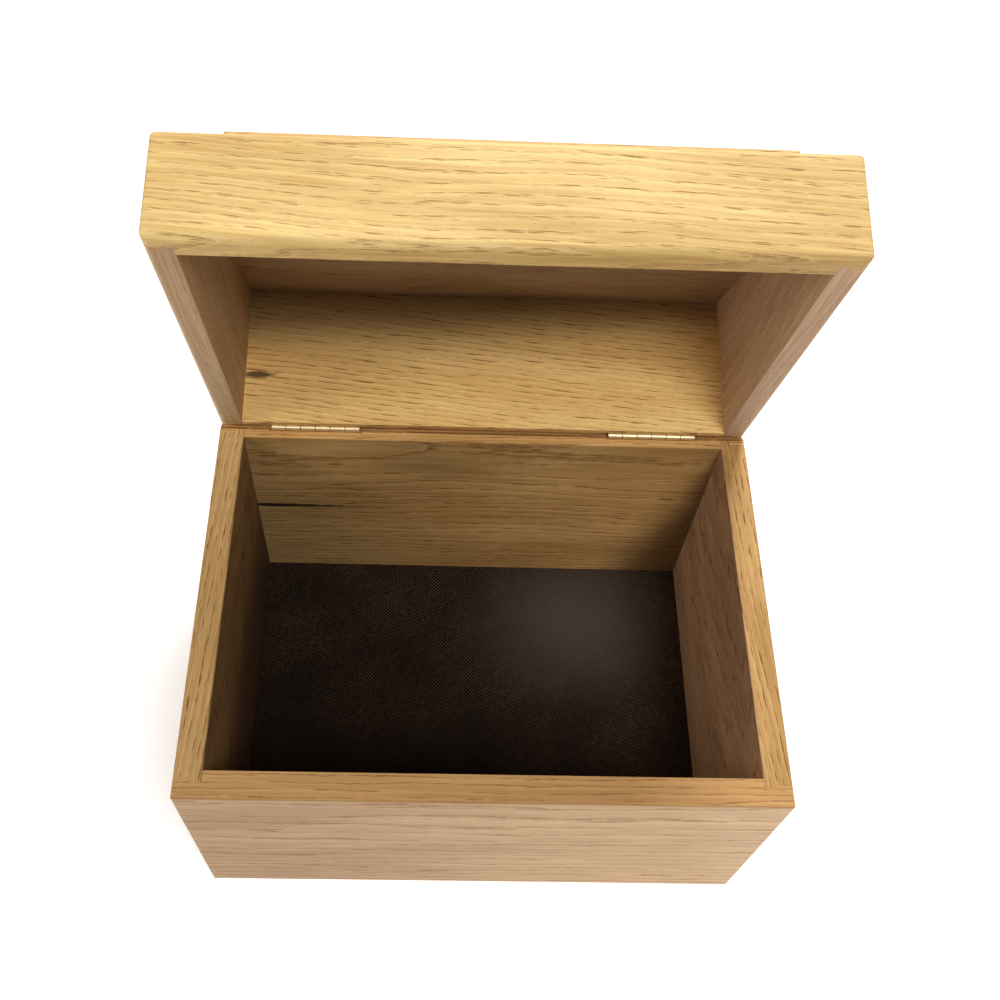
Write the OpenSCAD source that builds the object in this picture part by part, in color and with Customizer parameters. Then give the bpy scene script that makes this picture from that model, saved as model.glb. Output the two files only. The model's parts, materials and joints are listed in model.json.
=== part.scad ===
// A wooden donation box with a sloping hinged lid, drawn with the lid resting open.
// The origin is the middle of the underside: +X runs to the right, +Y to the back and +Z up.
// Lid pieces are drawn where they lie with the lid shut, then swung open about the hinge pins.

/* [Box] */
// Width of the box, left to right
box_w = 300; // [240:5:400]
// Depth of the box, front to back
box_d = 220; // [170:5:300]
// Height of the box up to its rim
box_h = 155; // [100:5:240]
// Thickness of the box's boards
board_t = 14; // [12:0.5:20]
// Rounding of the upright edges of the box
box_edge_r = 1.2; // [0.8:0.1:4]
// Rounding of the lower edges of the box
box_low_r = 3; // [1:0.5:5]
// Rounding of the rim's outer edge
rim_edge_r = 0.8; // [0.4:0.1:1.5]

/* [Corner joints] */
// Depth to which a side board's whole end is let into the front and back boards
housing_depth = 3.3; // [2:0.1:4]
// Depth to which the tongue on that end goes in
tongue_depth = 6; // [5:0.5:8]
// Width of the tongue, measured from the board's inner face
tongue_w = 5.5; // [4:0.5:7]

/* [Bottom] */
// Thickness of the hardboard bottom panel
bottom_t = 3; // [2:0.5:6]
// Width of the rebate that the bottom panel lies in
bottom_lap = 7; // [5:0.5:9]
// Distance by which the bottom panel lies above the underside
bottom_recess = 0; // [0:0.1:1]
// Space left round the edges of the bottom and top panels
panel_clearance = 0.15; // [0.1:0.05:0.4]
// Diameter of the panel pins in the bottom
panel_pin_d = 1.4; // [1:0.1:2]
// Diameter of the panel pins' heads
panel_pin_head_d = 2.6; // [2.2:0.1:4]
// Length of a panel pin
panel_pin_l = 15; // [10:1:25]
// Panel pins along the front edge, and the same along the back
pins_across = 5; // [2:1:9]
// Panel pins along each side edge
pins_deep = 2; // [1:1:6]

/* [Lid] */
// Height of the lid's front, from its rim to the top edge
lid_front_h = 51; // [40:1:80]
// Slope of the lid's top, rising to the back
lid_slope = 11.5; // [4:0.5:18]
// Thickness of the lid's frame boards
lid_board_t = 13; // [12:0.5:18]
// Distance by which the lid stands out past the front of the box
lid_overhang = 1; // [0:0.25:3]
// Thickness of the top board
top_t = 11; // [8:0.5:16]
// Width of the rebate that the top board lies in
top_lap = 6; // [4:0.5:8]
// Rounding of the lid's lower outer edges
lid_low_r = 3.5; // [2:0.5:6]
// Rounding of the edges round the lid's top
lid_top_r = 4; // [2:0.5:6]
// Rounding of the lid's upright edges
lid_upright_r = 1.2; // [0.8:0.1:4]
// Space between the two rims with the lid shut
rim_gap = 1.6; // [1.2:0.1:2.4]

/* [Raised panel and slot] */
// Thickness of the raised panel
panel_t = 10.3; // [6:0.1:16]
// Distance from the lid's edges to the raised panel
panel_inset = 22.5; // [18:0.5:45]
// Distance of the raised panel to the right of the lid's middle
panel_aside = 3; // [-5:0.5:5]
// Rounding of the raised panel's edges
panel_edge_r = 3; // [1:0.5:5]
// Length of the money slot
slot_l = 100; // [60:5:150]
// Width of the money slot
slot_w = 9; // [8.5:0.5:12]

/* [Hinges] */
// Angle at which the lid's back edge comes to rest on the box's back edge
lid_open = 76.3; // [60:0.1:85]
// Space left between those two edges there
stop_gap = 0.4; // [0.3:0.1:1]
// Distance of the hinge pins from the back face
pin_inset = 7.2; // [6:0.1:9]
// Distance from the back face to where the slope of the back edge starts
back_slope_in = 8.6; // [8:0.1:10]
// Length of a hinge
hinge_l = 50; // [35:1:70]
// Distance from the middle of the box to the middle of a hinge
hinge_x = 96; // [80:1:110]
// Knuckles on a hinge, shared by its two leaves
knuckles = 6; // [4:2:10]
// Diameter of the knuckles
barrel_d = 3.6; // [3.2:0.1:5]
// Diameter of the hinge pin
hinge_pin_d = 1.8; // [1.4:0.1:2.2]
// Running clearance of the pin in the knuckles, on the radius
pin_clearance = 0.05; // [0.02:0.01:0.1]
// Thickness of a leaf
leaf_t = 1.2; // [0.8:0.1:1.6]
// Depth that a leaf goes into its board, from the rim
leaf_reach = 8.5; // [6:0.5:12]
// Space between neighbouring knuckles
knuckle_gap = 0.4; // [0.2:0.05:0.5]
// Clearance round the knuckles in wood and metal
barrel_clearance = 0.35; // [0.3:0.05:0.6]
// Space that the saw cut leaves on each face of a leaf
kerf_clearance = 0.1; // [0.05:0.05:0.3]
// Length of the saw cut past the hinge, towards the box's corner
kerf_outer_run = 15; // [10:1:20]
// Length of the saw cut past the hinge, towards the box's middle
kerf_inner_run = 28; // [20:1:32]

/* [Hidden] */
$fn = 64;

OAK = "burlywood";
HARDBOARD = "saddlebrown";
BRASS = "gold";
STEEL = "silver";

// How far a cutting or limiting shape is carried past the piece it works on
past = 5;

// The box and the rims
front_y = -box_d / 2;
back_y = box_d / 2;
lid_front_y = front_y - lid_overhang;
lid_rim_z = box_h + rim_gap;
lid_depth = back_y - lid_front_y;
lid_back_h = lid_front_h + lid_depth * tan(lid_slope);
lid_slope_l = lid_depth / cos(lid_slope);

// The hinge line, and the slopes on both back edges that stop the lid
pin_y = back_y - pin_inset;
pin_z = box_h + rim_gap / 2;
stop_radius = pin_inset / cos(lid_open / 2);
stop_angle = lid_open / 2 + asin(stop_gap / 2 / stop_radius);
back_slope_drop = pin_inset * tan(stop_angle) - rim_gap / 2;

// The bottom panel's seat
inside_w = box_w - 2 * board_t;
inside_d = box_d - 2 * board_t;
seat_z = bottom_recess + bottom_t;
panel_pin_x = inside_w / 2 + bottom_lap / 2;
panel_pin_y = inside_d / 2 + bottom_lap / 2;
panel_pin_head_t = 0.6;

// The knuckles, and the saw cut that takes a leaf: an arc that is deep enough at the hinge's outer end
barrel_r = barrel_d / 2;
recess_r = barrel_r + barrel_clearance;
recess_l = hinge_l + 2 * 1.2;
knuckle_pitch = hinge_l / knuckles;
kerf_w = leaf_t + 2 * kerf_clearance;
kerf_half_l = (hinge_l + kerf_outer_run + kerf_inner_run) / 2;
kerf_x = hinge_x + (kerf_outer_run - kerf_inner_run) / 2;
kerf_reach = leaf_reach + 0.5;
kerf_hinge_end = kerf_half_l - kerf_outer_run;
saw_rise = (pow(kerf_half_l, 2) - pow(kerf_hinge_end, 2) - pow(kerf_reach, 2)) / (2 * kerf_reach);
saw_r = sqrt(pow(saw_rise, 2) + pow(kerf_half_l, 2));

// A point at a distance and an angle from another
function off(p, d, a) = [p[0] + d * cos(a), p[1] + d * sin(a)];

// What rounding takes off an outline's corner p, where edges leave p at the angles a and a + sweep
module corner_waste(p, a, sweep, r) {
    middle = a + sweep / 2;
    centre = off(p, r / sin(sweep / 2), middle);
    run = r / tan(sweep / 2);
    difference() {
        polygon([off(p, -1, middle), off(p, run, a), centre, off(p, run, a + sweep)]);
        translate(centre) circle(r);
    }
}

// A rectangle from x = -w / 2 to w / 2 and y = 0 to h, with its lower and upper corners rounded
module rounded_outline(w, h, low_r, high_r) {
    difference() {
        translate([-w / 2, 0]) square([w, h]);
        for (side = [0, 1]) mirror([side, 0]) {
            if (low_r > 0) corner_waste([-w / 2, 0], 0, 90, low_r);
            if (high_r > 0) corner_waste([-w / 2, h], -90, 90, high_r);
        }
    }
}

// Stands an outline drawn in X and Z up, and runs it through from the front to the back
module along_y(from, to) {
    translate([0, to, 0]) rotate([90, 0, 0]) linear_extrude(to - from) children();
}

// Stands an outline drawn in Y and Z up, and runs it through from side to side
module along_x(l) {
    translate([-l / 2, 0, 0]) rotate([90, 0, 90]) linear_extrude(l) children();
}

// Swings what is drawn for the shut lid open about the hinge pins
module opened() {
    translate([0, pin_y, pin_z]) rotate([-lid_open, 0, 0]) translate([0, -pin_y, -pin_z]) children();
}

// Lays what is drawn flat on the lid's sloping top, from the front edge
module on_slope() {
    translate([0, lid_front_y, lid_rim_z + lid_front_h]) rotate([lid_slope, 0, 0]) children();
}

// The box's outer shape, with the slope on its back edge
module box_shape() {
    intersection() {
        translate([0, front_y, 0]) linear_extrude(box_h)
            rounded_outline(box_w, box_d, box_edge_r, box_edge_r);
        along_y(front_y - past, back_y + past) rounded_outline(box_w, box_h, box_low_r, rim_edge_r);
        along_x(box_w + 2 * past) difference() {
            polygon([
                [front_y, 0], [back_y, 0], [back_y, box_h - back_slope_drop],
                [back_y - back_slope_in, box_h], [front_y, box_h]
            ]);
            corner_waste([front_y, 0], 0, 90, box_low_r);
            corner_waste([back_y, 0], 90, 90, box_low_r);
            corner_waste([front_y, box_h], -90, 90, rim_edge_r);
        }
    }
}

// The lid's outer shape
module lid_shape() {
    intersection() {
        translate([0, lid_front_y, lid_rim_z]) linear_extrude(lid_back_h + past)
            rounded_outline(box_w, lid_depth, lid_upright_r, lid_upright_r);
        translate([0, 0, lid_rim_z]) along_y(lid_front_y - past, back_y + past)
            rounded_outline(box_w, lid_back_h + past, lid_low_r, 0);
        translate([0, 0, lid_rim_z]) along_x(box_w + 2 * past) difference() {
            polygon([
                [lid_front_y, 0], [back_y - back_slope_in, 0], [back_y, back_slope_drop],
                [back_y, lid_back_h], [lid_front_y, lid_front_h]
            ]);
            corner_waste([lid_front_y, 0], 0, 90, lid_low_r);
            corner_waste([lid_front_y, lid_front_h], -90, 90 + lid_slope, lid_top_r);
            corner_waste([back_y, lid_back_h], 180 + lid_slope, 90 - lid_slope, lid_top_r);
        }
        on_slope() translate([0, 0, -2 * lid_back_h]) along_y(-2 * past, lid_slope_l + 8 * past)
            rounded_outline(box_w, 2 * lid_back_h, 0, lid_top_r);
    }
}

// A left side board before it is shaped: its ends are let into the front and back boards
module side_blank(t, y0, y1, z0, h) {
    translate([-box_w / 2 - past, y0 + t - housing_depth, z0])
        cube([t - tongue_w + past, y1 - y0 - 2 * (t - housing_depth), h]);
    translate([-box_w / 2 + t - tongue_w, y0 + t - tongue_depth, z0])
        cube([tongue_w, y1 - y0 - 2 * (t - tongue_depth), h]);
}

// Both side boards of the box, as the front and back boards are cut for them
module box_side_blanks() {
    for (side = [0, 1]) mirror([side, 0, 0])
        side_blank(board_t, front_y, back_y, -past, box_h + 2 * past);
}

module lid_side_blanks() {
    for (side = [0, 1]) mirror([side, 0, 0])
        side_blank(lid_board_t, lid_front_y, back_y, lid_rim_z - past, lid_back_h + 2 * past);
}

// The room for the bottom panel, with a clearance at its edges
module bottom_room(clearance, low, high) {
    w = inside_w + 2 * (bottom_lap - clearance);
    d = inside_d + 2 * (bottom_lap - clearance);
    translate([-w / 2, -d / 2, low]) cube([w, d, high - low]);
}

// Puts a child at each panel pin
module at_panel_pins() {
    for (y = [-1, 1], i = [0 : pins_across - 1])
        translate([panel_pin_x * ((2 * i + 1) / pins_across - 1), y * panel_pin_y, bottom_recess])
            children();
    for (x = [-1, 1], i = [0 : pins_deep - 1])
        translate([x * panel_pin_x, panel_pin_y * ((2 * i + 1) / pins_deep - 1), bottom_recess])
            children();
}

module panel_pin() {
    cylinder(h = panel_pin_head_t, d = panel_pin_head_d, $fn = 24);
    cylinder(h = panel_pin_l, d = panel_pin_d, $fn = 24);
}

// The room for the top board in the lid's frame: upright edges, a sloping top and underside
module top_room(clearance, above) {
    edge = lid_board_t - top_lap + clearance;
    intersection() {
        translate([-box_w / 2 + edge, lid_front_y + edge, lid_rim_z])
            cube([box_w - 2 * edge, lid_depth - 2 * edge, lid_back_h + past]);
        on_slope() translate([-box_w, -past, -top_t]) cube([2 * box_w, lid_slope_l + 2 * past, top_t + above]);
    }
}

// The money slot, cut straight down through the middle of the lid
module slot_cut() {
    straight = slot_l - slot_w;
    translate([0, (lid_front_y + back_y) / 2, lid_rim_z]) {
        translate([-straight / 2, -slot_w / 2, 0]) cube([straight, slot_w, 2 * lid_back_h]);
        for (x = [-1, 1]) translate([x * straight / 2, 0, 0]) cylinder(h = 2 * lid_back_h, d = slot_w);
    }
}

// What is cut from a back board for one hinge; up is 1 in the lid and -1 in the box
module hinge_cut(side, up) {
    rim_z = pin_z + up * rim_gap / 2;
    translate([side * hinge_x - recess_l / 2, pin_y, pin_z]) rotate([0, 90, 0])
        cylinder(h = recess_l, r = recess_r);
    translate([side * kerf_x, pin_y + kerf_w / 2, rim_z - up * saw_rise]) rotate([90, 0, 0])
        cylinder(h = kerf_w, r = saw_r, $fn = 128);
}

// One leaf with its share of the knuckles; first is 0 or 1, its first knuckle from the left
module hinge_leaf(side, first, up) {
    depth = leaf_reach + rim_gap / 2;
    translate([side * hinge_x - hinge_l / 2, pin_y, pin_z]) difference() {
        union() {
            translate([0, -leaf_t / 2, up > 0 ? 0 : -depth]) cube([hinge_l, leaf_t, depth]);
            for (i = [first : 2 : knuckles - 1])
                translate([i * knuckle_pitch + knuckle_gap / 2, 0, 0]) rotate([0, 90, 0])
                    cylinder(h = knuckle_pitch - knuckle_gap, r = barrel_r);
        }
        for (i = [1 - first : 2 : knuckles - 1])
            translate([i * knuckle_pitch - knuckle_gap / 2, 0, 0]) rotate([0, 90, 0])
                cylinder(h = knuckle_pitch + knuckle_gap, r = recess_r);
        translate([-1, 0, 0]) rotate([0, 90, 0])
            cylinder(h = hinge_l + 2, r = hinge_pin_d / 2 + pin_clearance);
    }
}

// A hinge pin with its ends bevelled
module hinge_pin(side) {
    r = hinge_pin_d / 2;
    bevel = 0.3;
    translate([side * hinge_x - hinge_l / 2, pin_y, pin_z]) rotate([0, 90, 0]) rotate_extrude()
        polygon([[0, 0], [r - bevel, 0], [r, bevel], [r, hinge_l - bevel], [r - bevel, hinge_l], [0, hinge_l]]);
}

// A board of the box that runs full width, with its outer face at y
module box_cross_board(y) {
    difference() {
        intersection() {
            box_shape();
            translate([-box_w / 2 - past, y, -past]) cube([box_w + 2 * past, board_t, box_h + 2 * past]);
        }
        box_side_blanks();
        bottom_room(0, -past, seat_z);
        at_panel_pins() panel_pin();
        for (side = [-1, 1]) hinge_cut(side, -1);
    }
}

module box_side_board() {
    difference() {
        intersection() {
            box_shape();
            side_blank(board_t, front_y, back_y, 0, box_h);
        }
        bottom_room(0, -past, seat_z);
        at_panel_pins() panel_pin();
    }
}

module lid_cross_board(y) {
    difference() {
        intersection() {
            lid_shape();
            translate([-box_w / 2 - past, y, lid_rim_z - past])
                cube([box_w + 2 * past, lid_board_t, lid_back_h + 2 * past]);
        }
        lid_side_blanks();
        top_room(0, past);
        for (side = [-1, 1]) hinge_cut(side, 1);
    }
}

module lid_side_board() {
    difference() {
        intersection() {
            lid_shape();
            side_blank(lid_board_t, lid_front_y, back_y, lid_rim_z, lid_back_h);
        }
        top_room(0, past);
    }
}

module front_board() {
    color(OAK) box_cross_board(front_y);
}

module back_board() {
    color(OAK) box_cross_board(back_y - board_t);
}

module left_board() {
    color(OAK) box_side_board();
}

module right_board() {
    color(OAK) mirror([1, 0, 0]) box_side_board();
}

module bottom_panel() {
    color(HARDBOARD) difference() {
        bottom_room(panel_clearance, bottom_recess, seat_z);
        at_panel_pins() panel_pin();
    }
}

module bottom_pins() {
    color(STEEL) at_panel_pins() panel_pin();
}

module lid_front_board() {
    color(OAK) opened() lid_cross_board(lid_front_y);
}

module lid_back_board() {
    color(OAK) opened() lid_cross_board(back_y - lid_board_t);
}

module lid_left_board() {
    color(OAK) opened() lid_side_board();
}

module lid_right_board() {
    color(OAK) opened() mirror([1, 0, 0]) lid_side_board();
}

module lid_top_board() {
    color(OAK) opened() difference() {
        top_room(panel_clearance, 0);
        slot_cut();
    }
}

module raised_panel() {
    w = box_w - 2 * panel_inset;
    l = lid_slope_l - 2 * panel_inset;
    color(OAK) opened() difference() {
        on_slope() translate([panel_aside, panel_inset, 0]) intersection() {
            linear_extrude(panel_t) rounded_outline(w, l, panel_edge_r, panel_edge_r);
            along_y(-past, l + past) rounded_outline(w, panel_t, 0, panel_edge_r);
            along_x(w + 2 * past) translate([l / 2, 0]) rounded_outline(l, panel_t, 0, panel_edge_r);
        }
        slot_cut();
    }
}

module left_hinge_box_leaf() {
    color(BRASS) hinge_leaf(-1, 0, -1);
}

module left_hinge_lid_leaf() {
    color(BRASS) opened() hinge_leaf(-1, 1, 1);
}

module left_hinge_pin() {
    color(BRASS) hinge_pin(-1);
}

module right_hinge_box_leaf() {
    color(BRASS) hinge_leaf(1, 0, -1);
}

module right_hinge_lid_leaf() {
    color(BRASS) opened() hinge_leaf(1, 1, 1);
}

module right_hinge_pin() {
    color(BRASS) hinge_pin(1);
}

front_board();
back_board();
left_board();
right_board();
bottom_panel();
bottom_pins();
lid_front_board();
lid_back_board();
lid_left_board();
lid_right_board();
lid_top_board();
raised_panel();
left_hinge_box_leaf();
left_hinge_lid_leaf();
left_hinge_pin();
right_hinge_box_leaf();
right_hinge_lid_leaf();
right_hinge_pin();
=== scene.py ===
# %% [markdown]
# # An oak donation box with a lift-up lid
# A small chest of oak boards: a deep body, and a lid with a raised panel and a money slot, which
# opens on two brass butt hinges. Its shapes come finished from the construction model. This lesson
# gives them their looks: oiled oak with its rings and pores, the dark mesh side of a hardboard
# bottom, bright brass and steel pins. It ends with the floor, the light and the camera.

import json
import math

import bmesh
import bpy
from mathutils import Euler, Matrix, Vector


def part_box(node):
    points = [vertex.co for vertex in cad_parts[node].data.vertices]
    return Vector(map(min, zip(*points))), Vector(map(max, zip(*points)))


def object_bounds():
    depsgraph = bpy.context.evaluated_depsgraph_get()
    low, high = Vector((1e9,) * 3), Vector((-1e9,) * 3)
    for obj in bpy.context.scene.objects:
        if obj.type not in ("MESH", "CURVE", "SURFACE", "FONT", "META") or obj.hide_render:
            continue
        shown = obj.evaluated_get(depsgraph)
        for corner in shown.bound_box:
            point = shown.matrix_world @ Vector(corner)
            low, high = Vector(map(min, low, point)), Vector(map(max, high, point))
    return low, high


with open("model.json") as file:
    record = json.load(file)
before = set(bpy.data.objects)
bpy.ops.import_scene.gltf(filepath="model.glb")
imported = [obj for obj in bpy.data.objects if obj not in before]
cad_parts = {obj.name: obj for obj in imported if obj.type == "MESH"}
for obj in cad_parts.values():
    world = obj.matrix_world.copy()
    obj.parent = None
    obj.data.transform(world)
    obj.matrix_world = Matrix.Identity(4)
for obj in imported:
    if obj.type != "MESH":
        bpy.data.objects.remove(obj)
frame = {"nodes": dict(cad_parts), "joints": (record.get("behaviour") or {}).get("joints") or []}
nodes = frame["nodes"]
joint = frame["joints"][0]
packed_low, packed_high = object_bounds()
hinge_line = Vector(joint["pos_m"])
print("boards and fittings:", len(nodes), "turning on", joint["name"])

# %% [markdown]
# ## Helpers for finishes
# A finish is a small network of nodes. Two short helpers keep each recipe readable: one adds a node
# with its settings and inputs, and the other does a sum on values that change over the surface.
# Anything the same all over stays a plain number on the shader itself, so it survives an export.

# %% Add a node, or a sum
MM = 0.001


def add(tree, kind, inputs=None, **settings):
    """Adds a node with its settings; an input is a number, a colour or another node's output."""
    made = tree.nodes.new(kind)
    for name, value in settings.items():
        setattr(made, name, value)
    for socket, value in (inputs or {}).items():
        if isinstance(value, bpy.types.NodeSocket):
            tree.links.new(value, made.inputs[socket])
        else:
            made.inputs[socket].default_value = value
    return made


def sum_of(tree, operation, first, second=0.0, third=0.0):
    """A Math node's output, such as sum_of(tree, "MULTIPLY", height, 0.5)."""
    inputs = {0: first, 1: second, 2: third}
    return add(tree, "ShaderNodeMath", inputs, operation=operation).outputs[0]


def fade(tree, value, start, end, low=0.0, high=1.0):
    """Smoothly goes from low to high as value goes from start to end."""
    inputs = {"Value": value, "From Min": start, "From Max": end, "To Min": low, "To Max": high}
    made = add(tree, "ShaderNodeMapRange", inputs, interpolation_type="SMOOTHSTEP")
    return made.outputs["Result"]


def blend(tree, share, first, second, way="MIX"):
    """The colour between two colours, or second laid over first in another way."""
    inputs = {"Factor": share, "A": first, "B": second}
    made = add(tree, "ShaderNodeMix", inputs, data_type="RGBA", blend_type=way)
    return made.outputs["Result"]


# %% A fresh finish and its shader
def new_finish(name, same_all_over=None):
    """A material with one Principled shader, and the inputs that are the same all over."""
    made = bpy.data.materials.new(name)
    made.use_nodes = True
    tree = made.node_tree
    tree.nodes.clear()
    shader = add(tree, "ShaderNodeBsdfPrincipled", same_all_over)
    out = add(tree, "ShaderNodeOutputMaterial")
    tree.links.new(shader.outputs["BSDF"], out.inputs["Surface"])
    return made, tree, shader


def give(node, finish):
    """Puts the finish on a construction node's own slot."""
    nodes[node].material_slots[0].material = finish


# %% [markdown]
# ## Oak
# Oak is a solid pattern, so the finish is made in three dimensions: the end of a board shows the
# same rings that its face shows as lines. Each board is a stick cut from a log. Its grain runs
# along the pattern's X, and the log's heart lies some way off to the side, so the distance from
# the heart counts the rings. A heart beside the face gives straight, even lines, and a heart
# behind the face gives wide, wavy figure. A picture of wood could not do both faces and ends.

# %% How the boards lie
LID_TURN = math.radians(76.3)
ALONG_X = (0.0, 0.0, 0.0)
ALONG_Y = (0.0, 0.0, math.radians(90))
LID_ALONG_X = (LID_TURN, 0.0, 0.0)
LID_ALONG_Y = (LID_TURN, 0.0, math.radians(90))
print("the lid stands open by", round(math.degrees(LID_TURN), 1), "degrees")


def grain_of(tree, node, lie, tilt, start):
    """The board's own coordinates: grain along X from start, face along Y, middle at Y 0 and Z 0."""
    low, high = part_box(node)
    turn = [base + math.radians(extra) for base, extra in zip(lie, tilt)]
    middle = Euler(turn).to_matrix() @ ((low + high) / 2)
    shift = Vector((start, 0.0, 0.0)) - middle
    place = add(tree, "ShaderNodeTexCoord").outputs["Object"]
    turned = add(tree, "ShaderNodeMapping", {"Vector": place, "Rotation": turn, "Location": shift})
    return turned.outputs["Vector"]


def stretched(tree, vector, along, across):
    """The same vector at along and across cells to the metre."""
    scale = (along, across, across)
    return add(tree, "ShaderNodeMapping", {"Vector": vector, "Scale": scale}).outputs["Vector"]


# %% Wander of the grain
def wandering(tree, vector, cells, reach):
    """Bends the grain sideways, by up to about reach, as in a tree that grew so."""
    slow = stretched(tree, vector, *cells)
    noise = add(tree, "ShaderNodeTexNoise", {"Vector": slow, "Scale": 1.0, "Detail": 1.0})
    middle = add(tree, "ShaderNodeVectorMath", {0: noise.outputs["Color"], 1: (0.5, 0.5, 0.5)},
                 operation="SUBTRACT").outputs[0]
    sideways = (0.0, 4 * reach, 4 * reach)
    moved = add(tree, "ShaderNodeVectorMath", {0: middle, 1: sideways, 2: vector},
                operation="MULTIPLY_ADD")
    return moved.outputs[0]


# %% Growth rings
# Every pair called CELLS is a pattern's cells to the metre, along and across the grain.
YEAR_CELLS = (12, 90)
LOG_TAPER = 0.03
UNEVEN_YEARS = 1.6


def rings(tree, vector, slant, far, ring):
    """0 to 1 through each year's growth, from the spring wood to the summer wood."""
    heart = (0.0, far * math.cos(math.radians(slant)), far * math.sin(math.radians(slant)))
    from_heart = add(tree, "ShaderNodeVectorMath", {0: vector, 1: heart},
                     operation="SUBTRACT").outputs[0]
    flat = add(tree, "ShaderNodeVectorMath", {0: from_heart, 1: (LOG_TAPER, 1.0, 1.0)},
               operation="MULTIPLY").outputs[0]
    radius = add(tree, "ShaderNodeVectorMath", {0: flat}, operation="LENGTH").outputs["Value"]
    slow = stretched(tree, vector, *YEAR_CELLS)
    uneven = add(tree, "ShaderNodeTexNoise", {"Vector": slow, "Scale": 1.0, "Detail": 2.0})
    years = sum_of(tree, "MULTIPLY_ADD", uneven.outputs["Fac"], UNEVEN_YEARS,
                   sum_of(tree, "DIVIDE", radius, ring))
    return sum_of(tree, "FRACT", years)


# %% Pores
def pores(tree, vector, cells, size, share):
    """Short dark dashes: the cut-open vessels of the wood, larger where share is larger."""
    vessels = add(tree, "ShaderNodeTexVoronoi",
                  {"Vector": stretched(tree, vector, *cells), "Scale": 1.0})
    picked = add(tree, "ShaderNodeSeparateColor", {"Color": vessels.outputs["Color"]})
    reach = sum_of(tree, "MULTIPLY_ADD", picked.outputs[0], 0.7, 0.3)
    reach = sum_of(tree, "MULTIPLY", reach, sum_of(tree, "MULTIPLY", share, size))
    inside = sum_of(tree, "DIVIDE", vessels.outputs["Distance"],
                    sum_of(tree, "MAXIMUM", reach, 0.01))
    return fade(tree, inside, 1.0, 0.4)


# %% The wood between the pores
FIBRE_CELLS = (16, 700)
PATCH_CELLS = (7, 32)


def plain_wood(tree, grain, year, pale, brown):
    """Pale to brown by fibre, in slow patches and toward each summer; returns its fibre too."""
    fibre = add(tree, "ShaderNodeTexNoise",
                {"Vector": stretched(tree, grain, *FIBRE_CELLS), "Scale": 1.0, "Detail": 4.0,
                 "Roughness": 0.6}).outputs["Fac"]
    patch = add(tree, "ShaderNodeTexNoise",
                {"Vector": stretched(tree, grain, *PATCH_CELLS), "Scale": 1.0, "Detail": 2.0})
    summer = sum_of(tree, "MULTIPLY", fade(tree, year, 0.25, 0.8), fade(tree, year, 1.0, 0.86))
    share = sum_of(tree, "MULTIPLY_ADD", summer, 0.3, fade(tree, fibre, 0.3, 0.72, 0.0, 0.5))
    share = sum_of(tree, "ADD", share, fade(tree, patch.outputs["Fac"], 0.3, 0.7, -0.1, 0.4))
    return blend(tree, share, (*pale, 1), (*brown, 1)), fibre


# %% The open grain
LARGE_PORE_CELLS = (62, 1150)
SMALL_PORE_CELLS = (140, 2300)
BREAK_CELLS = (55, 420)


def open_grain(tree, grain, year, pore, line, thin, fine):
    """How dark the open grain is: pores of two sizes, and the broken line of each spring."""
    spring = fade(tree, year, 0.5, 0.05, 0.22, 1.0)
    large = pores(tree, grain, [fine * count for count in LARGE_PORE_CELLS], 0.85, spring)
    small = pores(tree, grain, [fine * count for count in SMALL_PORE_CELLS], 0.75, spring)
    dark = sum_of(tree, "MAXIMUM", sum_of(tree, "MULTIPLY", large, pore),
                  sum_of(tree, "MULTIPLY", small, 0.5 * pore))
    breaks = add(tree, "ShaderNodeTexNoise",
                 {"Vector": stretched(tree, grain, *BREAK_CELLS), "Scale": 1.0, "Detail": 2.0})
    broken = sum_of(tree, "MULTIPLY", fade(tree, year, thin, 0.4 * thin),
                    fade(tree, breaks.outputs["Fac"], 0.38, 0.55, 0.15, 1.0))
    dashes = sum_of(tree, "MULTIPLY_ADD", small, 0.6, 0.4)
    broken = sum_of(tree, "MULTIPLY", broken, dashes)
    return sum_of(tree, "MAXIMUM", dark, sum_of(tree, "MULTIPLY", broken, line))


# %% The oak recipe
BEND_CELLS = (3.5, 9)
RIPPLE_CELLS = (22, 70)
RIPPLE = 0.35 * MM
PORE_TINT = (0.38, 0.24, 0.13, 1)
OAK_SHINE = 0.2
GRAIN_DEPTH = 0.12 * MM


def oak(node, lie, tilt=(0, 0, 0), slant=60, far=0.3, start=0.0, pale=(0.66, 0.44, 0.20),
        brown=(0.46, 0.26, 0.095), ring=3.4 * MM, wander=4 * MM, pore=0.8, line=0.4, thin=0.3,
        fine=1.0, changes=()):
    """One board's oak. It starts so far up the log, which keeps the boards apart. Its rings face
    slant degrees off the board's face, and their heart is far away. pale and brown are its
    lightest and darkest wood. pore is how dark its pores are, fine how small, line how dark the
    line at each year's start is, and thin its share of the year. changes add marks and painted
    shade."""
    made, tree, shader = new_finish("oak_" + node, {"Specular IOR Level": OAK_SHINE})
    grain = grain_of(tree, node, lie, tilt, start)
    grain = wandering(tree, grain, BEND_CELLS, wander)
    grain = wandering(tree, grain, RIPPLE_CELLS, RIPPLE)
    year = rings(tree, grain, slant, far, ring)
    wood, fibre = plain_wood(tree, grain, year, pale, brown)
    dark = open_grain(tree, grain, year, pore, line, thin, fine)
    colour = blend(tree, dark, wood, PORE_TINT, "MULTIPLY")
    for change in changes:
        colour = change(tree, colour)
    rough = sum_of(tree, "MULTIPLY_ADD", fibre, 0.16, 0.48)
    rough = sum_of(tree, "MULTIPLY_ADD", dark, 0.15, rough)
    height = sum_of(tree, "SUBTRACT", sum_of(tree, "MULTIPLY", fibre, 0.3), dark)
    bump = add(tree, "ShaderNodeBump",
               {"Height": height, "Strength": 0.35, "Distance": GRAIN_DEPTH})
    tree.links.new(colour, shader.inputs["Base Color"])
    tree.links.new(rough, shader.inputs["Roughness"])
    tree.links.new(bump.outputs["Normal"], shader.inputs["Normal"])
    return made
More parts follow.
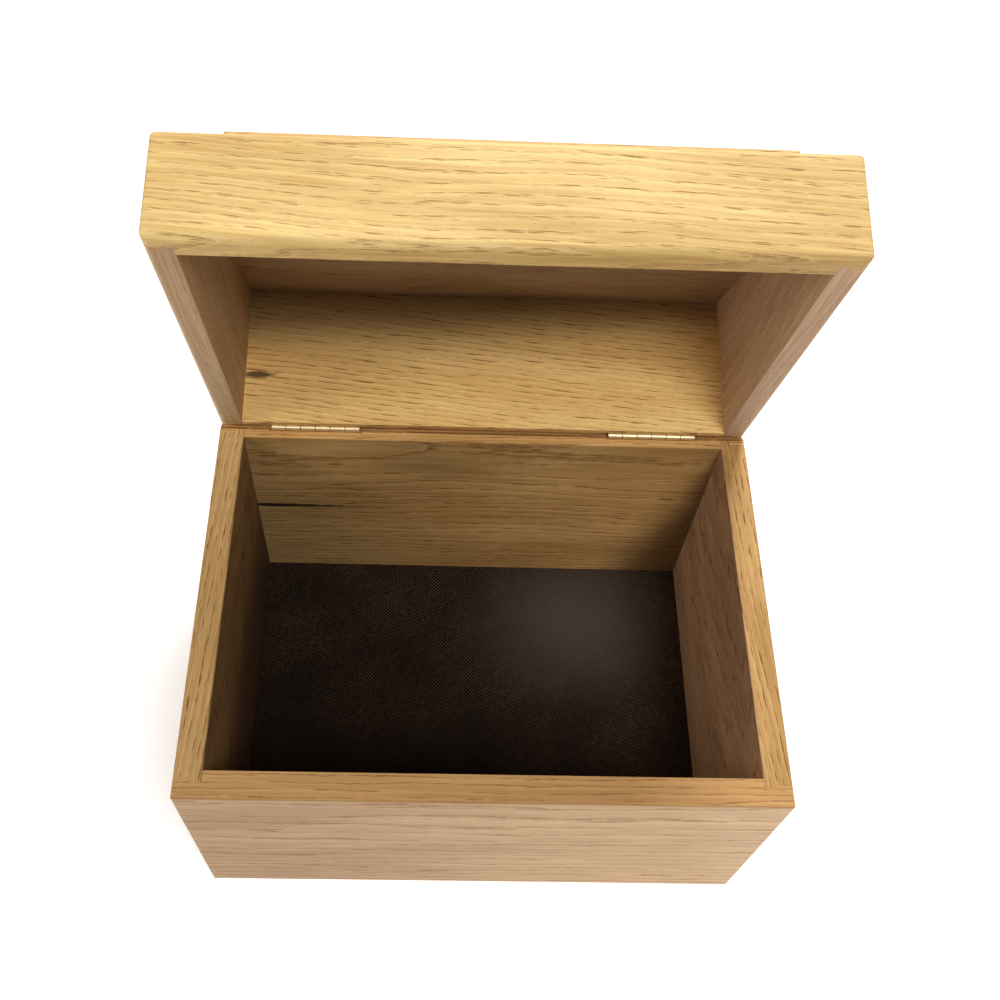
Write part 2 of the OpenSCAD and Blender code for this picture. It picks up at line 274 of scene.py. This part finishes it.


# %% [markdown]
# ## Marks and painted shade
# A used box isn't the same brown all over. Its inner faces are painted darker than its outer ones,
# with painted shade toward some corners and ends, and its rims are darker: the front rim partly by
# its own edge grain and partly by painted shade, the lid's rim by painted shade. The wood has a knot
# and a stained split. Painted pictures could show this, but they would need every face unwrapped.
# Here each mark and each painted shade is a change to the oak's colour, placed by its distance from
# a point or a plane. A plane just under a face takes in that whole face and no other.

# %% An oval mark, painted shade or painted highlight
RAGGED_CELLS = (150, 700)
SOFT = dict(ragged_by=0.05, core=0.0)


def oval_mark_or_painted_light(place, reach, depth, tint, ragged_by=0.8, core=0.8):
    """An oval tint around place that reaches so far along X, Y and Z, and fades past its core: a
    mark in the wood, painted shade or a painted highlight.
    """
    def change(tree, colour):
        here = add(tree, "ShaderNodeTexCoord").outputs["Object"]
        away = add(tree, "ShaderNodeVectorMath", {0: here, 1: place},
                   operation="SUBTRACT").outputs[0]
        share = add(tree, "ShaderNodeVectorMath", {0: away, 1: reach},
                    operation="DIVIDE").outputs[0]
        length = add(tree, "ShaderNodeVectorMath", {0: share},
                     operation="LENGTH").outputs["Value"]
        ragged = add(tree, "ShaderNodeTexNoise",
                     {"Vector": stretched(tree, here, *RAGGED_CELLS), "Scale": 1.0, "Detail": 3.0})
        length = sum_of(tree, "MULTIPLY_ADD", ragged.outputs["Fac"], ragged_by, length)
        inside = fade(tree, length, 1.0 + ragged_by / 2, core, 0.0, depth)
        return blend(tree, inside, colour, (*tint, 1))
    return change


# %% Painted shade on a face
FACE_FADE = 0.8 * MM
UNDER = 0.2 * MM


def way_along(tree, direction, first, last):
    """0 at the distance first from the origin, measured along direction, and 1 at last."""
    here = add(tree, "ShaderNodeTexCoord").outputs["Object"]
    distance = add(tree, "ShaderNodeVectorMath", {0: here, 1: direction},
                   operation="DOT_PRODUCT").outputs["Value"]
    return fade(tree, distance, first, last)


def painted_face_shade(direction, at, tint, grows=None):
    """Tints the wood past a plane that faces direction, at that distance from the origin: painted
    shade on a face. The tint may grow along another direction, from first to last."""
    def change(tree, colour):
        share = way_along(tree, direction, at - FACE_FADE, at)
        if grows:
            share = sum_of(tree, "MULTIPLY", share, way_along(tree, *grows))
        return blend(tree, share, colour, (*tint, 1), "MULTIPLY")
    return change


# %% The side boards' inner faces
# In the lid the tint starts so near the outer face that the rim and the edges take it too.
BOX_BOARD = 14 * MM
LID_SKIN = 2 * MM
box_left, box_right = packed_low.x, packed_high.x
inner_left = box_left + BOX_BOARD - UNDER
# Painted shade: the left inner face darkened, more toward the bottom; the right inner face darkened
# with a purple cast.
left_inside_shade = painted_face_shade((1, 0, 0), inner_left, (0.48, 0.46, 0.46))
left_low_shade = painted_face_shade((1, 0, 0), inner_left, (0.27, 0.26, 0.38),
                     ((0, 0, -1), -150 * MM, -20 * MM))
right_inside_shade = painted_face_shade((-1, 0, 0), BOX_BOARD - UNDER - box_right, (0.79, 0.78, 1.2))
# Painted shade on the lid's side boards: inside, on their rims and on their edges.
lid_left_shade = painted_face_shade((1, 0, 0), box_left + LID_SKIN, (0.78, 0.74, 0.76))
lid_right_shade = painted_face_shade((-1, 0, 0), LID_SKIN - box_right, (0.83, 0.78, 0.92))
print("between the side boards:", round((box_right - box_left - 2 * BOX_BOARD) / MM), "mm")

# %% Painted shade on the back board's face and rim, and its stained split
MARK_BROWN = (0.02, 0.012, 0.008)
back_low, back_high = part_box("back_board")
back_at = -back_low.y - UNDER
# Painted shade on the back board's inner face: darker toward the lower left, a painted shadow of the
# right board at its right end, and a painted shadow across its upper middle.
back_left_shade = painted_face_shade((0, -1, 0), back_at, (0.62, 0.66, 0.66),
                      ((-1, 0, -0.5), 0.0, 110 * MM))
back_right_shadow = painted_face_shade((0, -1, 0), back_at, (0.33, 0.31, 0.31),
                       ((1, 0, -0.3), 72 * MM, 114 * MM))
back_upper_shadow = oval_mark_or_painted_light((-30 * MM, back_low.y, 130 * MM), (85 * MM, 10 * MM, 62 * MM), 0.4,
                    (0.16, 0.09, 0.03), **SOFT)
back_split = oval_mark_or_painted_light((box_left + BOX_BOARD, back_low.y, 80 * MM), (80 * MM, 4 * MM, 2.8 * MM),
                    0.97, MARK_BROWN)
# Painted shadow of the gap between the lid and the body, along the top of the back board behind the
# hinge line.
back_gap_shade = painted_face_shade((0, 1, 0), hinge_line.y - 0.3 * MM, (0.28, 0.22, 0.16),
                      ((0, 0, 1), back_high.z - 2 * MM, back_high.z - 0.3 * MM))
print("the back board's face is at Y", round(back_low.y / MM, 1), "mm")

# %% The front board's rim and face
front_low, front_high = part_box("front_board")
# The front rim is darker and warmer: partly its own edge grain, partly painted shade.
front_rim_grain_and_shade = painted_face_shade((0, 0, 1), front_high.z - UNDER, (0.76, 0.65, 0.44))
# Painted shade: the front face darker toward its left end.
front_left_shade = painted_face_shade((0, -1, 0), -front_low.y - UNDER, (0.74, 0.70, 0.66),
                       ((-1, 0, 0), -box_right, -box_left))
print("the front board is", round((front_high.z - front_low.z) / MM), "mm high")

# %% The lid's rim, and the inside of its top board
LID_SLOPE = math.radians(11.5)
LID_FRONT = 51 * MM
LID_BOARD = 13 * MM
TOP_BOARD = 11 * MM
OVERHANG = 1 * MM
opened = Matrix.Rotation(-LID_TURN, 3, "X")
lid_down = opened @ Vector((0, 0, -1))
# Painted shade on the lid's rim.
lid_rim_shade = painted_face_shade(lid_down, hinge_line.dot(lid_down) - 1.0 * MM, (0.87, 0.80, 0.72))
top_front = Vector((0, packed_low.y - OVERHANG, hinge_line.z + LID_FRONT)) - hinge_line
under_top = opened @ Vector((0, math.sin(LID_SLOPE), -math.cos(LID_SLOPE)))
inner_at = under_top.dot(hinge_line + opened @ top_front) + TOP_BOARD
# Painted shade on the inside of the lid's top board.
top_inside_shade = painted_face_shade(under_top, inner_at - 0.5 * MM, (0.56, 0.56, 0.90))
print("the open lid's rim faces", [round(part, 2) for part in lid_down])

# %% The lid's back board: a painted shadow along its top, and a knot
lid_front = opened @ Vector((0, -1, 0))
back_inner_at = hinge_line.dot(lid_front) + hinge_line.y - (back_high.y - LID_BOARD)
from_rim = -hinge_line.dot(lid_down)
# Painted shadow of the lid's front board along the top of the back board's inner face.
lid_back_top_shadow = painted_face_shade(lid_front, back_inner_at - UNDER, (0.42, 0.39, 0.41),
                     (Vector((-0.06, 0, 0)) - lid_down, from_rim + 46 * MM, from_rim + 76 * MM))
lid_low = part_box("lid_back_board")[0]
knot_at = lid_low + Vector((20 * MM, 28.2 * MM, 18.3 * MM))
knot = oval_mark_or_painted_light(knot_at, (12 * MM, 3 * MM, 4.5 * MM), 0.85, MARK_BROWN)
print("the knot is", round((knot_at - hinge_line).length / MM), "mm from the middle of the hinges")

# %% [markdown]
# ## A board for each place
# The boards of one box are cut from different planks, and a joiner turns each so that its best face
# shows. So every board here has its own lie, rings, colours and open grain, as arguments of the one
# recipe, and starts at its own place up the log, so that no two show the same figure.

# %% Oak for the boards
BOARDS = {
    "front_board": dict(lie=ALONG_X, tilt=(0, 0.6, 0), slant=20, far=0.4, start=0.0, line=0.95,
                        pale=(0.83, 0.56, 0.315), brown=(0.60, 0.37, 0.19), wander=0.8 * MM,
                        pore=0.6, thin=0.3, fine=1.3, changes=[front_rim_grain_and_shade, front_left_shade]),
    "back_board": dict(lie=ALONG_X, slant=35, far=0.12, start=0.5, line=0.9,
                       pale=(0.85, 0.52, 0.205), brown=(0.50, 0.27, 0.085), pore=0.95, fine=1.2,
                       changes=[back_left_shade, back_right_shadow, back_upper_shadow, back_split, back_gap_shade]),
    "left_board": dict(lie=ALONG_Y, tilt=(0, 0, 5), slant=10, far=0.2, start=1.0, fine=1.5,
                       pore=1.0, line=0.6, pale=(0.68, 0.43, 0.175), brown=(0.43, 0.235, 0.078),
                       changes=[left_inside_shade, left_low_shade]),
    "right_board": dict(lie=ALONG_Y, tilt=(0, 0, -5), slant=15, far=0.3, start=1.5, fine=1.4,
                        pore=1.0, line=0.6, pale=(0.56, 0.33, 0.115), brown=(0.35, 0.185, 0.053),
                        changes=[right_inside_shade]),
    "lid_front_board": dict(lie=LID_ALONG_X, tilt=(0, -3.5, 0), slant=60, far=0.09, start=2.0,
                            pale=(0.84, 0.615, 0.26), brown=(0.55, 0.345, 0.115), pore=0.8,
                            line=0.6, ring=3.4 * MM, fine=1.4, changes=[lid_rim_shade]),
    "lid_back_board": dict(lie=LID_ALONG_X, tilt=(0, -6, 0), slant=75, far=0.3, start=2.5,
                           pale=(0.95, 0.67, 0.27), brown=(0.72, 0.42, 0.13), pore=0.95,
                           ring=3.0 * MM, line=0.85, thin=0.26, changes=[lid_back_top_shadow, knot]),
    "lid_left_board": dict(lie=LID_ALONG_Y, slant=20, far=0.3, start=3.0,
                           changes=[lid_left_shade],
                           pale=(0.72, 0.50, 0.25), brown=(0.50, 0.31, 0.14), pore=0.45, fine=1.3),
    "lid_right_board": dict(lie=LID_ALONG_Y, slant=20, far=0.3, start=3.5,
                            changes=[lid_right_shade],
                            pale=(0.74, 0.50, 0.25), brown=(0.53, 0.32, 0.14), pore=0.45, fine=1.3),
    "lid_top_board": dict(lie=LID_ALONG_X, slant=80, far=0.2, start=4.0, changes=[top_inside_shade],
                          pale=(0.74, 0.49, 0.20), brown=(0.51, 0.31, 0.11), pore=0.6),
    "raised_panel": dict(lie=LID_ALONG_X, slant=100, far=0.15, start=4.5,
                         pale=(0.74, 0.50, 0.21), brown=(0.52, 0.31, 0.11)),
}
for node, cut in BOARDS.items():
    give(node, oak(node, **cut))
print("oak boards:", len(BOARDS))

# %% [markdown]
# ## Hardboard bottom
# The bottom is a sheet of hardboard, laid with its mesh side up. The wire screen it was pressed on
# leaves rows of fine dimples. They are far too many to model, so a bump does them: a sine along
# each side of the sheet, and where the two meet, a dimple. Its colour also has a painted highlight
# toward the back right and painted shade toward the front.

# %% Painted highlight and painted shade on the hardboard
# Painted highlight where light falls on the hardboard toward the back right.
painted_sheen = oval_mark_or_painted_light((66 * MM, 58 * MM, 3 * MM), (92 * MM, 74 * MM, 20 * MM), 0.45,
                (0.14, 0.115, 0.093), **SOFT)
# Painted shade on the hardboard toward the front, under the front board.
painted_front_shade = oval_mark_or_painted_light((-38 * MM, -80 * MM, 3 * MM), (100 * MM, 100 * MM, 20 * MM), 0.85,
                (0.003, 0.002, 0.0015), **SOFT)
painted_floor_light = [painted_sheen, painted_front_shade]
# The painted highlight and painted shade on the hardboard.
print("worn places on the hardboard:", len(painted_floor_light))

# %% Mesh-side hardboard
MESH_PITCH = 2.4 * MM
MESH_DEPTH = 0.2 * MM
FUZZ_SCALE = 520.0
PATCH_SCALE = 22.0
HARDBOARD_SHINE = 0.06
HOLLOW_BROWN = (0.006, 0.004, 0.0025, 1)
RAISED_BROWN = (0.118, 0.068, 0.037, 1)
PATCH_BROWN = (0.006, 0.004, 0.003, 1)
FRONT_SHADE_TINT = (0.34, 0.29, 0.26, 1)


def screen_print(tree, place):
    """From -1 in the dimples to 1 between them: a wave along each side, multiplied."""
    turns = 2 * math.pi / MESH_PITCH
    scaled = add(tree, "ShaderNodeVectorMath", {0: place, 1: (turns, turns, turns)},
                 operation="MULTIPLY").outputs[0]
    wave = add(tree, "ShaderNodeVectorMath", {0: scaled}, operation="SINE").outputs[0]
    side = add(tree, "ShaderNodeSeparateXYZ", {"Vector": wave})
    return sum_of(tree, "MULTIPLY", side.outputs["X"], side.outputs["Y"])


def hardboard():
    """Dark brown pressed fibre with the print of a wire screen, and painted highlight and shade."""
    made, tree, shader = new_finish("hardboard_mesh_side", {"Specular IOR Level": HARDBOARD_SHINE})
    place = add(tree, "ShaderNodeTexCoord").outputs["Object"]
    fuzz = add(tree, "ShaderNodeTexNoise", {"Vector": place, "Scale": FUZZ_SCALE, "Detail": 3.0})
    patch = add(tree, "ShaderNodeTexNoise", {"Vector": place, "Scale": PATCH_SCALE, "Detail": 2.0})
    height = sum_of(tree, "MULTIPLY_ADD", fuzz.outputs["Fac"], 1.6, screen_print(tree, place))
    bump = add(tree, "ShaderNodeBump",
               {"Height": height, "Strength": 0.5, "Distance": MESH_DEPTH})
    colour = blend(tree, fade(tree, height, 0.3, 2.3), HOLLOW_BROWN, RAISED_BROWN)
    colour = blend(tree, fade(tree, patch.outputs["Fac"], 0.35, 0.7, 0.0, 0.5), colour,
                   PATCH_BROWN)
    # Painted shade: darker toward the front left.
    front_shade_share = way_along(tree, (-0.5, -1, 0), -60 * MM, 130 * MM)
    colour = blend(tree, front_shade_share, colour, FRONT_SHADE_TINT, "MULTIPLY")
    # Then the painted highlight and painted shade.
    for change in painted_floor_light:
        colour = change(tree, colour)
    rough = fade(tree, fuzz.outputs["Fac"], 0.3, 0.7, 0.5, 0.68)
    tree.links.new(colour, shader.inputs["Base Color"])
    tree.links.new(rough, shader.inputs["Roughness"])
    tree.links.new(bump.outputs["Normal"], shader.inputs["Normal"])
    return made


give("bottom_panel", hardboard())
print("rows of dimples in 100 mm:", round(100 * MM / MESH_PITCH))

# %% [markdown]
# ## Brass and steel
# The hinges are stamped brass with drawn brass pins, polished and lacquered, with fine lines from
# the polishing along their length. The panel pins under the bottom are bright steel. Both are metal
# shaders whose lines are noise stretched a long way one way.

# %% Polished metal
POLISH_CELLS = (120, 6000)
POLISH_DEPTH = 0.02 * MM
TARNISH_SCALE = 260.0


def metal(name, bright, dull, roughness):
    """Metal with fine polishing lines along X and a little darkening in patches."""
    made, tree, shader = new_finish(name, {"Metallic": 1.0})
    place = add(tree, "ShaderNodeTexCoord").outputs["Object"]
    lines = add(tree, "ShaderNodeTexNoise",
                {"Vector": stretched(tree, place, *POLISH_CELLS), "Scale": 1.0, "Detail": 2.0})
    patch = add(tree, "ShaderNodeTexNoise", {"Vector": place, "Scale": TARNISH_SCALE, "Detail": 3.0})
    share = fade(tree, patch.outputs["Fac"], 0.45, 0.75, 0.0, 0.5)
    colour = blend(tree, share, (*bright, 1), (*dull, 1))
    rough = sum_of(tree, "MULTIPLY_ADD", lines.outputs["Fac"], 0.18, roughness)
    bump = add(tree, "ShaderNodeBump",
               {"Height": lines.outputs["Fac"], "Strength": 0.25, "Distance": POLISH_DEPTH})
    tree.links.new(colour, shader.inputs["Base Color"])
    tree.links.new(rough, shader.inputs["Roughness"])
    tree.links.new(bump.outputs["Normal"], shader.inputs["Normal"])
    return made


# %% Metal for the hinges and pins
brass = metal("brass_hinge", (0.96, 0.80, 0.50), (0.74, 0.54, 0.27), 0.42)
drawn_brass = metal("brass_pin", (0.20, 0.14, 0.07), (0.10, 0.07, 0.04), 0.45)
steel = metal("steel_pin", (0.62, 0.61, 0.60), (0.34, 0.32, 0.30), 0.30)
for side in ("left", "right"):
    give(side + "_hinge_box_leaf", brass)
    give(side + "_hinge_lid_leaf", brass)
    give(side + "_hinge_pin", drawn_brass)
give("bottom_pins", steel)
print("metals:", brass.name, drawn_brass.name, steel.name)

# %% [markdown]
# ## Floor, light and camera
# The box stands on a plain white floor, which glows a little so that it stays white under the box's
# own shade. A white wall stands behind it, and the metal and the oiled wood mirror it. Three
# soft lights do the rest: a strong one behind lights the lid's outside and the rims, one above the
# front reaches into the box, and a weak one at the left opens the shadows.

# %% Floor
FLOOR_RADIUS = 6.0
FLOOR_SIDES = 96
FLOOR_DROP = 0.2 * MM
WALL_HEIGHT = 2.5
WALL_FROM = 1.0
sheet = bmesh.new()
bmesh.ops.create_circle(sheet, cap_ends=True, segments=FLOOR_SIDES, radius=FLOOR_RADIUS)
behind = [edge for edge in sheet.edges if all(end.co.y > WALL_FROM for end in edge.verts)]
wall = bmesh.ops.extrude_edge_only(sheet, edges=behind)["geom"]
upper = [part for part in wall if isinstance(part, bmesh.types.BMVert)]
bmesh.ops.translate(sheet, verts=upper, vec=(0, 0, WALL_HEIGHT))
bmesh.ops.translate(sheet, verts=sheet.verts[:], vec=(0, 0, -FLOOR_DROP))
floor_mesh = bpy.data.meshes.new("studio_floor")
sheet.to_mesh(floor_mesh)
sheet.free()
floor = bpy.data.objects.new("studio_floor", floor_mesh)
bpy.context.scene.collection.objects.link(floor)
print("walled sides of the floor:", len(behind), "of", FLOOR_SIDES)

# %% White for the floor
white_floor = new_finish("white_floor", {
    "Base Color": (0.86, 0.86, 0.86, 1), "Roughness": 0.9,
    "Emission Color": (1, 1, 1, 1), "Emission Strength": 0.45})[0]
floor_mesh.materials.append(white_floor)


# %% Lights
def soft_light(name, place, aim, width, watts):
    """A square white light of that width at place, facing aim."""
    lamp = bpy.data.lights.new(name, "AREA")
    lamp.shape = "SQUARE"
    lamp.size = width
    lamp.energy = watts
    hung = bpy.data.objects.new(name, lamp)
    hung.location = place
    hung.rotation_euler = (Vector(aim) - Vector(place)).to_track_quat("-Z", "Y").to_euler()
    bpy.context.scene.collection.objects.link(hung)
    print("light", name, "stands", round((Vector(aim) - Vector(place)).length, 2), "m away")


MIDDLE = (packed_low + packed_high) / 2
soft_light("behind", (0.5, 1.3, 1.5), MIDDLE, 0.45, 33.5)
soft_light("above_front", (0.35, -0.7, 1.7), MIDDLE, 0.45, 17)
soft_light("left", (-1.2, -0.3, 0.9), MIDDLE, 0.6, 8)

# %% World
ROOM_LIGHT = 0.02
world = bpy.data.worlds.new("studio")
world.use_nodes = True
background = world.node_tree.nodes["Background"]
background.inputs["Color"].default_value = (1, 1, 1, 1)
background.inputs["Strength"].default_value = ROOM_LIGHT
bpy.context.scene.world = world
bpy.context.scene.view_settings.view_transform = "Standard"
print("light from all round:", ROOM_LIGHT)

# %% Camera
CAMERA_PLACE = Vector((-0.030472, -0.282591, 0.731302))
CAMERA_TURN = (32.47974, -2.43798, 0.10261)
lens = bpy.data.cameras.new("camera")
lens.sensor_width = 36.0
lens.lens = 43.639
lens.shift_x = 0.027437
lens.shift_y = -0.040361
lens.clip_start = 0.01
camera = bpy.data.objects.new("camera", lens)
camera.location = CAMERA_PLACE
camera.rotation_euler = [math.radians(turn) for turn in CAMERA_TURN]
bpy.context.scene.collection.objects.link(camera)
bpy.context.scene.camera = camera
print("the camera is", round((CAMERA_PLACE - MIDDLE).length, 2), "m from the middle of the box")
